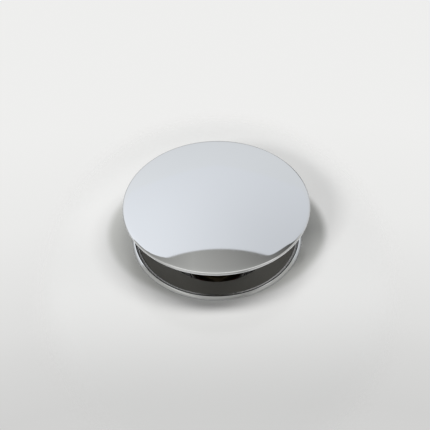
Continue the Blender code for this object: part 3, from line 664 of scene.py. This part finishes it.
SLIP_HOLE = 21.25
GASKET_RADIUS = 27.25
GASKET_WALL = 1.5
GASKET_GAP = 0.3
TAPER_FOOT = -36.0
TAPER_RADIUS = 28.5
TAPER_TOP = -27.0
TAPERED_WASHER = (
    (SLIP_HOLE, TAPER_FOOT, 0.4), (TAPER_RADIUS, TAPER_FOOT, 0.7), (TAPER_RADIUS, -33.0, 1.0),
    (22.45, TAPER_TOP, 0.4), (SLIP_HOLE, TAPER_TOP, 0.3),
)
SLIP_RADIUS = 28.8
SLIP_FOOT = -37.8
SLIP_TOP = -36.3
SLIP_WASHER = (
    (SLIP_HOLE, SLIP_FOOT, 0.2), (SLIP_RADIUS, SLIP_FOOT, 0.5), (SLIP_RADIUS, SLIP_TOP, 0.5),
    (SLIP_HOLE, SLIP_TOP, 0.2),
)
TAIL_BORE = 14.6
TAIL_RADIUS = 15.9
TAIL_FOOT = -118.5
COLLAR_RADIUS = 21.6
COLLAR_TOP = -60.0
SPIGOT_RADIUS = 18.85
SPIGOT_TOP = -46.0
TAIL_TUBE = (
    (TAIL_BORE, TAIL_FOOT, 0.3), (TAIL_RADIUS, TAIL_FOOT, 0.4), (TAIL_RADIUS, -66.5, 1.2),
    (COLLAR_RADIUS, -63.5, 0.9), (COLLAR_RADIUS, COLLAR_TOP, 0.5), (SPIGOT_RADIUS, COLLAR_TOP, 0.2),
    (SPIGOT_RADIUS, SPIGOT_TOP, 0.3), (17.25, SPIGOT_TOP, 0.3), (TAIL_BORE, -53.0, 0.8),
)
O_RING_AT = (19.85, -59.0)
O_RING_ROUND = (0.7, 0.7)
CARRIER_RADIUS = 22.6
CARRIER_NECK = 19.8
CARRIER_LIP = 21.0
CARRIER_TOP = 14.7
CARRIER_FOOT = 11.2
CARRIER_DISC = (
    (STUD_HOLE, CARRIER_TOP, 0.1), (CARRIER_RADIUS, CARRIER_TOP, 0.35), (CARRIER_RADIUS, 13.7, 0.3),
    (CARRIER_NECK, 13.7, 0.1), (CARRIER_NECK, 12.1, 0.1), (CARRIER_LIP, 12.1, 0.15),
    (CARRIER_LIP, CARRIER_FOOT, 0.35), (14.0, CARRIER_FOOT, 0.3), (13.2, 11.7, 0.3), (8.4, 11.7, 0.3),
    (7.6, CARRIER_FOOT, 0.3), (STUD_HOLE, CARRIER_FOOT, 0.1),
)
SEAL_HOLE = 20.1
SEAL_LIP = 25.0
SEAL_TOP = 13.4
LIP_SEAL = (
    (SEAL_HOLE, SEAL_TOP, 0.1), (SEAL_LIP, SEAL_TOP, 0.25), (SEAL_LIP, 13.0, 0.15), (21.3, 11.5, 0.25),
    (21.3, 12.4, 0.1), (SEAL_HOLE, 12.4, 0.1),
)
WASHER_RADIUS = 6.5
WASHER_FOOT = 10.1
WASHER_TOP = 10.9
STUD_WASHER = (
    (STUD_HOLE, WASHER_FOOT, 0.1), (WASHER_RADIUS, WASHER_FOOT, 0.2), (WASHER_RADIUS, WASHER_TOP, 0.2),
    (STUD_HOLE, WASHER_TOP, 0.1),
)


def turned_piece(name, node, body, corners, material, segments=160, steps=4):
    fit(lathe(name, rounded(corners, steps), [material], segments), node, body)


def make_washers():
    slope = NECK_DEPTH / (SEAT - SHANK)
    gap = GASKET_GAP * math.sqrt(1 + slope**2)
    top_in = -NECK_DEPTH + (SLIP_HOLE - SHANK) * slope - gap
    top_out = -NECK_DEPTH + (GASKET_RADIUS - SHANK) * slope - gap
    corners = [
        (SLIP_HOLE, top_in, 0.2), (GASKET_RADIUS, top_out, 0.4),
        (GASKET_RADIUS, top_out - GASKET_WALL, 0.5), (SLIP_HOLE, top_in - GASKET_WALL, 0.3),
    ]
    turned_piece("cone_gasket", "flange_gasket", "drain", corners, RUBBER)
    turned_piece("cone_washer", "tapered_washer", "drain", TAPERED_WASHER, RUBBER)
    turned_piece("slip_washer", "friction_washer", "drain", SLIP_WASHER, WHITE)


def make_tailpiece():
    turned_piece("tail_tube", "tailpiece", "drain", TAIL_TUBE, TAIL, 192, 6)
    ring = lathe("tail_ring", arc(O_RING_AT, O_RING_ROUND, 0, 360, 18)[:-1], [RUBBER], 160)
    fit(ring, "tailpiece_o_ring", "drain")


def make_stopper():
    turned_piece("carrier_disc", "seal_carrier", "stopper", CARRIER_DISC, BLACK, 128)
    turned_piece("lip_seal", "cap_seal", "stopper", LIP_SEAL, RUBBER)
    turned_piece("stud_flat_washer", "stud_washer", "stopper", STUD_WASHER, STEEL, 96)


# Nuts: hexagons with their corners turned down at both ends and their holes countersunk

NUT_FLATS = 52.0
NUT_FOOT = -45.6
NUT_TOP = -38.1
NUT_TRIM = 0.1                  # taken off each corner
NUT_EDGE = 0.18
STUD_NUT_FLATS = 9.0
STUD_NUT_FOOT = 7.2
STUD_NUT_TOP = 9.8
STUD_NUT_TRIM = 0.04
STUD_NUT_EDGE = 0.08
NUT_CHAMFER = math.radians(30)
NUT_FACE_STEP = 0.25
COUNTERSINK = 0.6


def hex_nut(name, flats, hole, foot, top, trim, edge, segments):
    """A nut about the axis, made of rings of which the outer two follow its six flats."""
    half = flats / 2
    start = half - NUT_FACE_STEP
    rise = math.tan(NUT_CHAMFER)
    verts = []
    faces = []
    rings = []

    def reach(angle):
        local = (angle + math.pi / 6) % (math.pi / 3) - math.pi / 6
        return min(half / math.cos(local), half / math.cos(math.pi / 6) - trim)

    def ring(radius, height):
        row = []
        for i in range(segments):
            angle = 2 * math.pi * i / segments
            r = radius(angle) if callable(radius) else radius
            z = height(angle) if callable(height) else height
            row.append(len(verts))
            verts.append((r * MM * math.cos(angle), r * MM * math.sin(angle), z * MM))
        rings.append(row)

    ring(hole, foot + COUNTERSINK)
    ring(hole + COUNTERSINK, foot)
    ring(start, foot)
    ring(reach, lambda a: foot + (reach(a) - start) * rise)
    ring(reach, lambda a: top - (reach(a) - start) * rise)
    ring(start, top)
    ring(hole + COUNTERSINK, top)
    ring(hole, top - COUNTERSINK)
    for a, b in zip(rings, rings[1:] + rings[:1]):
        for i in range(segments):
            k = (i + 1) % segments
            faces.append((a[i], b[i], b[k], a[k]))
    nut = finish_mesh(name, verts, faces, [BRASS])
    bevel = nut.modifiers.new("edges", "BEVEL")
    bevel.width = edge * MM
    bevel.segments = 2
    bevel.limit_method = "ANGLE"
    bevel.angle_limit = math.radians(28)
    return nut


def make_nuts():
    nut = hex_nut("clamp_nut", NUT_FLATS, SLIP_HOLE, NUT_FOOT, NUT_TOP, NUT_TRIM, NUT_EDGE, 96)
    fit(nut, "lock_nut", "drain")
    nut = hex_nut(
        "stud_lock_nut", STUD_NUT_FLATS, STUD_HOLE, STUD_NUT_FOOT, STUD_NUT_TOP,
        STUD_NUT_TRIM, STUD_NUT_EDGE, 48,
    )
    fit(nut, "stud_nut", "stopper")


# Spring: a coil of round wire, made at one length

SPRING_RADIUS = 4.05
SPRING_WIRE = 0.35
SPRING_TURNS = 8
SPRING_FOOT = -50.1
SPRING_TOP = -25.6
SPRING_STEPS = 40               # in each turn
WIRE_SIDES = 12


def make_spring():
    count = SPRING_TURNS * SPRING_STEPS
    rise = (SPRING_TOP - SPRING_FOOT - 2 * SPRING_WIRE) / count
    lean = math.atan2(rise * count, 2 * math.pi * SPRING_RADIUS * SPRING_TURNS)
    verts = []
    faces = []
    for i in range(count + 1):
        turn = 2 * math.pi * i / SPRING_STEPS
        outward = Vector((math.cos(turn), math.sin(turn), 0.0))
        ahead = Vector((-math.sin(turn) * math.cos(lean), math.cos(turn) * math.cos(lean), math.sin(lean)))
        upward = outward.cross(ahead)
        middle = outward * SPRING_RADIUS + Vector((0, 0, SPRING_FOOT + SPRING_WIRE + rise * i))
        for j in range(WIRE_SIDES):
            angle = 2 * math.pi * j / WIRE_SIDES
            place = middle + (outward * math.cos(angle) + upward * math.sin(angle)) * SPRING_WIRE
            verts.append(tuple(place * MM))
    for i in range(count):
        a = i * WIRE_SIDES
        b = a + WIRE_SIDES
        for j in range(WIRE_SIDES):
            k = (j + 1) % WIRE_SIDES
            faces.append((a + j, b + j, b + k, a + k))
    faces.append(tuple(range(WIRE_SIDES)))
    faces.append(tuple(count * WIRE_SIDES + j for j in reversed(range(WIRE_SIDES))))
    spring = finish_mesh("coil_spring", verts, faces, [STEEL])
    fit(spring, "return_spring", "drain")
    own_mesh(spring)


# Floor: the basin's glazed surface round the drain, which fades out towards its edge

FLOOR_HOLE = 29.4
FLOOR_HEIGHT = -0.05
FLOOR_CENTRE = (0.0, -18.0)
FLOOR_CORE = (52.0, 68.0)
FLOOR_FADE = 1.30
FLOOR_OVERRUN = 0.02
FLOOR_SHARES = (0.0, 0.08, 0.25, 0.5, 0.75, 1.0)
# Painted shade: the glaze runs from its back tone to a darker front tone.
GLAZE_FRONT = (0.562, 0.562, 0.555)
GLAZE_BACK = (0.735, 0.735, 0.727)
GLAZE_FADE = (-78.0, -23.0)
RING_AT = (0.0, 2.5)            # a ring of painted shadow close to the rim
RING = (39.5, 33.0)
RING_EDGE = (0.94, 1.04)
RING_SHADOW_TINT = (0.74, 0.745, 0.725)
LOBE_ACROSS = (16.0, 33.0)      # the painted shadow ring is darkest at its right
LOBE_ALONG = (-9.0, 4.0)
LOBE_DEPTH = 0.36
GLOW_LEAN = 0.4                 # painted light: the glaze is made palest behind the cap
GLOW_ALONG = (5.0, 35.0)
GLOW_REACH = (1.7, 1.15)
GLOW_GAIN = 0.08


def from_centre(tree, x, y, centre, radii):
    """The distance from an ellipse's centre, where one is the ellipse itself."""
    across = tree.over(tree.minus(x, centre[0] * MM), radii[0] * MM)
    along = tree.over(tree.minus(y, centre[1] * MM), radii[1] * MM)
    return tree.length(across, along)


def glaze():
    """White glaze with painted shade and light: darker towards the front, a painted shadow ring close to
    the rim, painted light behind the cap, and clear at its outer edge and from below.
    """
    surface = Surface("basin_glaze")
    x, y, z = surface.axes()

    def span(value, ends):
        return surface.ramp(value, ends[0] * MM, ends[1] * MM)

    # Painted shade: the glaze is darker towards the front.
    front_shaded_glaze = surface.colour(span(y, GLAZE_FADE), GLAZE_FRONT, GLAZE_BACK)
    near = from_centre(surface, x, y, RING_AT, RING)
    lobe = surface.times(span(x, LOBE_ACROSS), span(y, LOBE_ALONG))
    shade = surface.minus(1.0, surface.times(lobe, LOBE_DEPTH))
    # Painted shadow: a darker ring round the rim, deepest at its right.
    painted_shadow_tone = surface.tint(surface.tint(front_shaded_glaze, RING_SHADOW_TINT), shade)
    tone = surface.colour(surface.ramp(near, *RING_EDGE), painted_shadow_tone, front_shaded_glaze)
    # Painted light: the glaze is made paler behind the cap.
    back = span(surface.minus(y, surface.times(x, GLOW_LEAN)), GLOW_ALONG)
    glow = surface.times(back, surface.ramp(near, *GLOW_REACH))
    tone = surface.tint(tone, surface.plus(1.0, surface.times(glow, GLOW_GAIN)))
    soft = surface.noise(60.0, 2.0, 0.5, surface.place())
    material = surface.finish(tone, surface.ramp(soft, 0.3, 0.7, 0.13, 0.19, "LINEAR"))
    solid = surface.ramp(from_centre(surface, x, y, FLOOR_CENTRE, FLOOR_CORE), 1.0, FLOOR_FADE, 1.0, 0.0)
    below = surface.add("ShaderNodeNewGeometry").outputs["Backfacing"]
    solid = surface.times(solid, surface.minus(1.0, below))
    clear = surface.add("ShaderNodeBsdfTransparent").outputs[0]
    mix = surface.add("ShaderNodeMixShader", {0: solid, 1: clear, 2: surface.shader.outputs[0]})
    surface.put(surface.tree.nodes["Material Output"].inputs["Surface"], mix.outputs[0])
    return material


def make_floor():
    verts = []
    faces = []
    count = 128
    spread = FLOOR_FADE + FLOOR_OVERRUN
    for share in FLOOR_SHARES:
        for i in range(count):
            angle = 2 * math.pi * i / count
            round_once = (math.cos(angle), math.sin(angle))
            inner = [FLOOR_HOLE * t for t in round_once]
            outer = [c + core * spread * t for c, core, t in zip(FLOOR_CENTRE, FLOOR_CORE, round_once)]
            place = [(a + (b - a) * share) * MM for a, b in zip(inner, outer)]
            verts.append((*place, FLOOR_HEIGHT * MM))
    for j in range(len(FLOOR_SHARES) - 1):
        for i in range(count):
            k = (i + 1) % count
            faces.append((j * count + i, (j + 1) * count + i, (j + 1) * count + k, j * count + k))
    mesh = bpy.data.meshes.new("basin")
    mesh.from_pydata(verts, [], faces)
    mesh.update()
    mesh.materials.append(glaze())
    add_object("basin", mesh)


# World: the backdrop that the camera sees, and the room that lights the drain and shows in its chrome

# A direction's length is one, with x to the right, y to the back and z up
PANEL_BASE = 0.605
PANEL_RISE = 0.587
PANEL_FALL = 0.449
PANEL_SIDE = 0.624
PANEL_SPLIT = (0.50, 0.53)
PANEL_SPLIT_SIDE = 0.25
PANEL_UPPER = (0.966, 1.0, 1.045)
PANEL_LOWER = (0.962, 0.992, 1.018)
PANEL_EDGE = (-0.004, 0.006)
PANEL_LEAN = (0.21, 0.30, 0.498, 0.578)     # the edge leans more to the right of the drain
GREY_TINT = (1.0, 1.0, 0.955)
GREY_PEAK = 0.701
GREY_PEAK_AT = -0.1
GREY_SIDE = 0.66
GREY_BACK = 0.70
GREY_RANGE = (0.07, 0.62)
FRONT_BASE = 0.46
FRONT_SIDE = 0.22
FRONT_RISE = (0.2, 0.9, 0.66, 1.0)
FRONT_EDGE = (-0.15, 0.05)
SIDES_RIGHT = (0.42, 0.60)
SIDES_LEFT = (-0.60, -0.74)
SIDES_LEVEL = 0.52
LAMP_HEIGHT = 0.3
LAMP_COLOUR = (1.15, 1.15, 1.13)
STRIP_AT = (0.19, 0.12)
STRIP_HALF = (0.52, 0.09)
STRIP_TILT = 0.22
WINDOW_AT = (-0.67, -0.71)
WINDOW_HALF = (0.18, 0.70)
WINDOW_SHARE = 0.3
WALL_EDGE = (0.20, 0.34)
WALL_DROP = (0.35, 0.6, 0.0, -0.12)
WALL_LEVEL = (-0.2, 0.55, 0.46, 0.16)
WALL_TINT = (1.0, 1.0, 0.98)
GROUND_LEVEL = 0.72
GROUND_TINT = (1.0, 1.0, 0.99)
GROUND_EDGE = (-0.02, 0.02)
STRIPE_AT = 0.42
STRIPE = (0.05, 0.16, 0.12, 1.0)
OTHER_STRIPE_AT = -0.80
OTHER_STRIPE = (0.05, 0.14, 0.25, 1.0)
DIFFUSE_CUT = (0.15, 0.35, 0.5, 0.94)       # how much of the room is taken off the light on matt surfaces
BACKDROP_TINT = 0.99
BACKDROP = (                                # how far down the view points, and the grey there out of 255
    (0.0, 238), (0.66, 238.5), (0.715, 234), (0.747, 227.5), (0.770, 222), (0.783, 216.5), (0.797, 212.5),
    (0.812, 209), (0.835, 210),
)


def pale_panel(tree, x, z):
    """The broad bluish panel behind the drain, darker high up and to the right."""
    square = tree.times(z, z)
    level = tree.minus(tree.plus(tree.times(z, PANEL_RISE), PANEL_BASE), tree.times(square, PANEL_FALL))
    level = tree.minus(level, tree.times(tree.times(square, x), PANEL_SIDE))
    sag = tree.times(tree.math("ABSOLUTE", x), PANEL_SPLIT_SIDE)
    upper = tree.ramp(tree.minus(z, sag), *PANEL_SPLIT)
    return tree.colour(upper, tree.tint(level, PANEL_LOWER), tree.tint(level, PANEL_UPPER))


def grey_room(tree, x, y, z):
    """Grey overhead, a little darker in front, with paler sides."""
    grey = tree.minus(GREY_PEAK, tree.times(tree.away(x, GREY_PEAK_AT), GREY_SIDE))
    grey = tree.minus(grey, tree.times(y, GREY_BACK))
    grey = tree.math("MINIMUM", tree.larger(grey, GREY_RANGE[0]), GREY_RANGE[1])
    front = tree.times(tree.minus(FRONT_BASE, tree.times(x, FRONT_SIDE)), tree.ramp(z, *FRONT_RISE))
    grey = tree.blend(tree.ramp(y, *FRONT_EDGE), front, grey)
    sides = tree.larger(tree.ramp(x, *SIDES_RIGHT), tree.ramp(x, *SIDES_LEFT))
    return tree.tint(tree.blend(sides, grey, SIDES_LEVEL), GREY_TINT)


def lamps(tree, x, y, z):
    """The lamps as the chrome sees them: a tilted strip overhead and a faint window at the front left."""
    above = tree.larger(z, LAMP_HEIGHT)
    sideways = tree.over(x, above)
    forward = tree.over(y, above)
    tilted = tree.plus(forward, tree.times(sideways, STRIP_TILT))
    strip = tree.patch(sideways, tilted, STRIP_AT, STRIP_HALF)
    window = tree.patch(sideways, forward, WINDOW_AT, WINDOW_HALF)
    return tree.larger(strip, tree.times(window, WINDOW_SHARE))


def ground(tree, x):
    """Pale ground below the horizon, with two dark stripes that show in the tube."""
    stripe = tree.ramp(tree.away(x, STRIPE_AT), *STRIPE)
    other = tree.ramp(tree.away(x, OTHER_STRIPE_AT), *OTHER_STRIPE)
    return tree.tint(tree.times(tree.times(stripe, other), GROUND_LEVEL), GROUND_TINT)


def room(tree):
    """The whole room by direction: ground, low wall, and above it the panel, grey room and lamps."""
    x, y, z = tree.axes("Generated")
    edge = tree.minus(y, tree.times(z, tree.ramp(x, *PANEL_LEAN)))
    walls = tree.colour(tree.ramp(edge, *PANEL_EDGE), grey_room(tree, x, y, z), pale_panel(tree, x, z))
    lit = tree.colour(lamps(tree, x, y, z), walls, LAMP_COLOUR)
    low_wall = tree.tint(tree.ramp(x, *WALL_LEVEL, "LINEAR"), WALL_TINT)
    high = tree.ramp(tree.minus(z, tree.ramp(x, *WALL_DROP)), *WALL_EDGE)
    upper = tree.colour(high, low_wall, lit)
    return tree.colour(tree.ramp(z, *GROUND_EDGE), ground(tree, x), upper), z


def backdrop(tree, z):
    """What the camera sees: pale at the top of the picture and a little darker below."""
    node = tree.add("ShaderNodeValToRGB")
    tree.put(node.inputs[0], tree.times(z, -1.0))
    elements = node.color_ramp.elements
    while len(elements) > 1:
        elements.remove(elements[0])
    for i, (place, level) in enumerate(BACKDROP):
        element = elements[0] if i == 0 else elements.new(place)
        element.position = place
        value = ((level / 255 + 0.055) / 1.055) ** 2.4
        element.color = (value, value, value * BACKDROP_TINT, 1)
    return tree.add("ShaderNodeBackground", {"Color": node.outputs[0], "Strength": 1.0})


def make_world():
    world = bpy.data.worlds.new("studio")
    bpy.context.scene.world = world
    world.use_nodes = True
    world.cycles.sampling_method = "NONE"
    tree = Tree(world.node_tree)
    background = world.node_tree.nodes["Background"]
    colour, z = room(tree)
    tree.put(background.inputs["Color"], colour)
    path = tree.add("ShaderNodeLightPath")
    dimmed = tree.times(path.outputs["Is Diffuse Ray"], tree.ramp(z, *DIFFUSE_CUT))
    tree.put(background.inputs["Strength"], tree.minus(1.0, dimmed))
    seen = backdrop(tree, z)
    sockets = {0: path.outputs["Is Camera Ray"], 1: background.outputs[0], 2: seen.outputs[0]}
    mix = tree.add("ShaderNodeMixShader", sockets)
    tree.put(world.node_tree.nodes["World Output"].inputs["Surface"], mix.outputs[0])


# Lights: two soft boxes, which the chrome sees only as the lamps in the world

# Name, then place and size in metres and power in watts
LIGHTS = {
    "overhead_strip": ((0.073, 0.059, 0.70), (0.85, 0.18), 4.8),
    "front_left_box": ((-0.367, -0.452, 0.50), (0.20, 0.14), 2.3),
}


def area(name, place, size, power):
    """A soft box that faces the drain."""
    light = bpy.data.lights.new(name, "AREA")
    light.shape = "RECTANGLE"
    light.size, light.size_y = size
    light.energy = power
    away = Vector(place).normalized()
    along = Vector((1, 0, 0))
    along = (along - away * along.dot(away)).normalized()
    obj = add_object(name, light)
    obj.location = place
    obj.rotation_mode = "QUATERNION"
    obj.rotation_quaternion = Matrix((along, away.cross(along), away)).transposed().to_quaternion()
    obj.visible_glossy = False


def make_lights():
    for name, (place, size, power) in LIGHTS.items():
        area(name, place, size, power)


# Camera: the photo's angle and long lens

LENS = 100.465
SENSOR = 36.0
ELEVATION = math.radians(45.871)
ROLL = math.radians(-1.323)
CAMERA_TARGET = (-0.510, 10.385, 0.0)
CAMERA_DISTANCE = 440.50
CLIP = (0.01, 10.0)             # metres


def make_camera():
    data = bpy.data.cameras.new("camera")
    data.lens = LENS
    data.sensor_width = SENSOR
    data.clip_start, data.clip_end = CLIP
    camera = add_object("camera", data)
    forward = Vector((0.0, math.cos(ELEVATION), -math.sin(ELEVATION)))
    camera.location = Vector(CAMERA_TARGET) * MM - forward * CAMERA_DISTANCE * MM
    camera.rotation_mode = "QUATERNION"
    camera.rotation_quaternion = forward.to_track_quat("-Z", "Y") @ Quaternion((0, 0, 1), ROLL)
    bpy.context.scene.camera = camera


make_camera()
make_world()
make_lights()
make_floor()
make_cap()
make_body()
make_washers()
make_nuts()
make_tailpiece()
make_stopper()
make_spring()
dress_cad()
bpy.context.scene.view_settings.view_transform = "Standard"
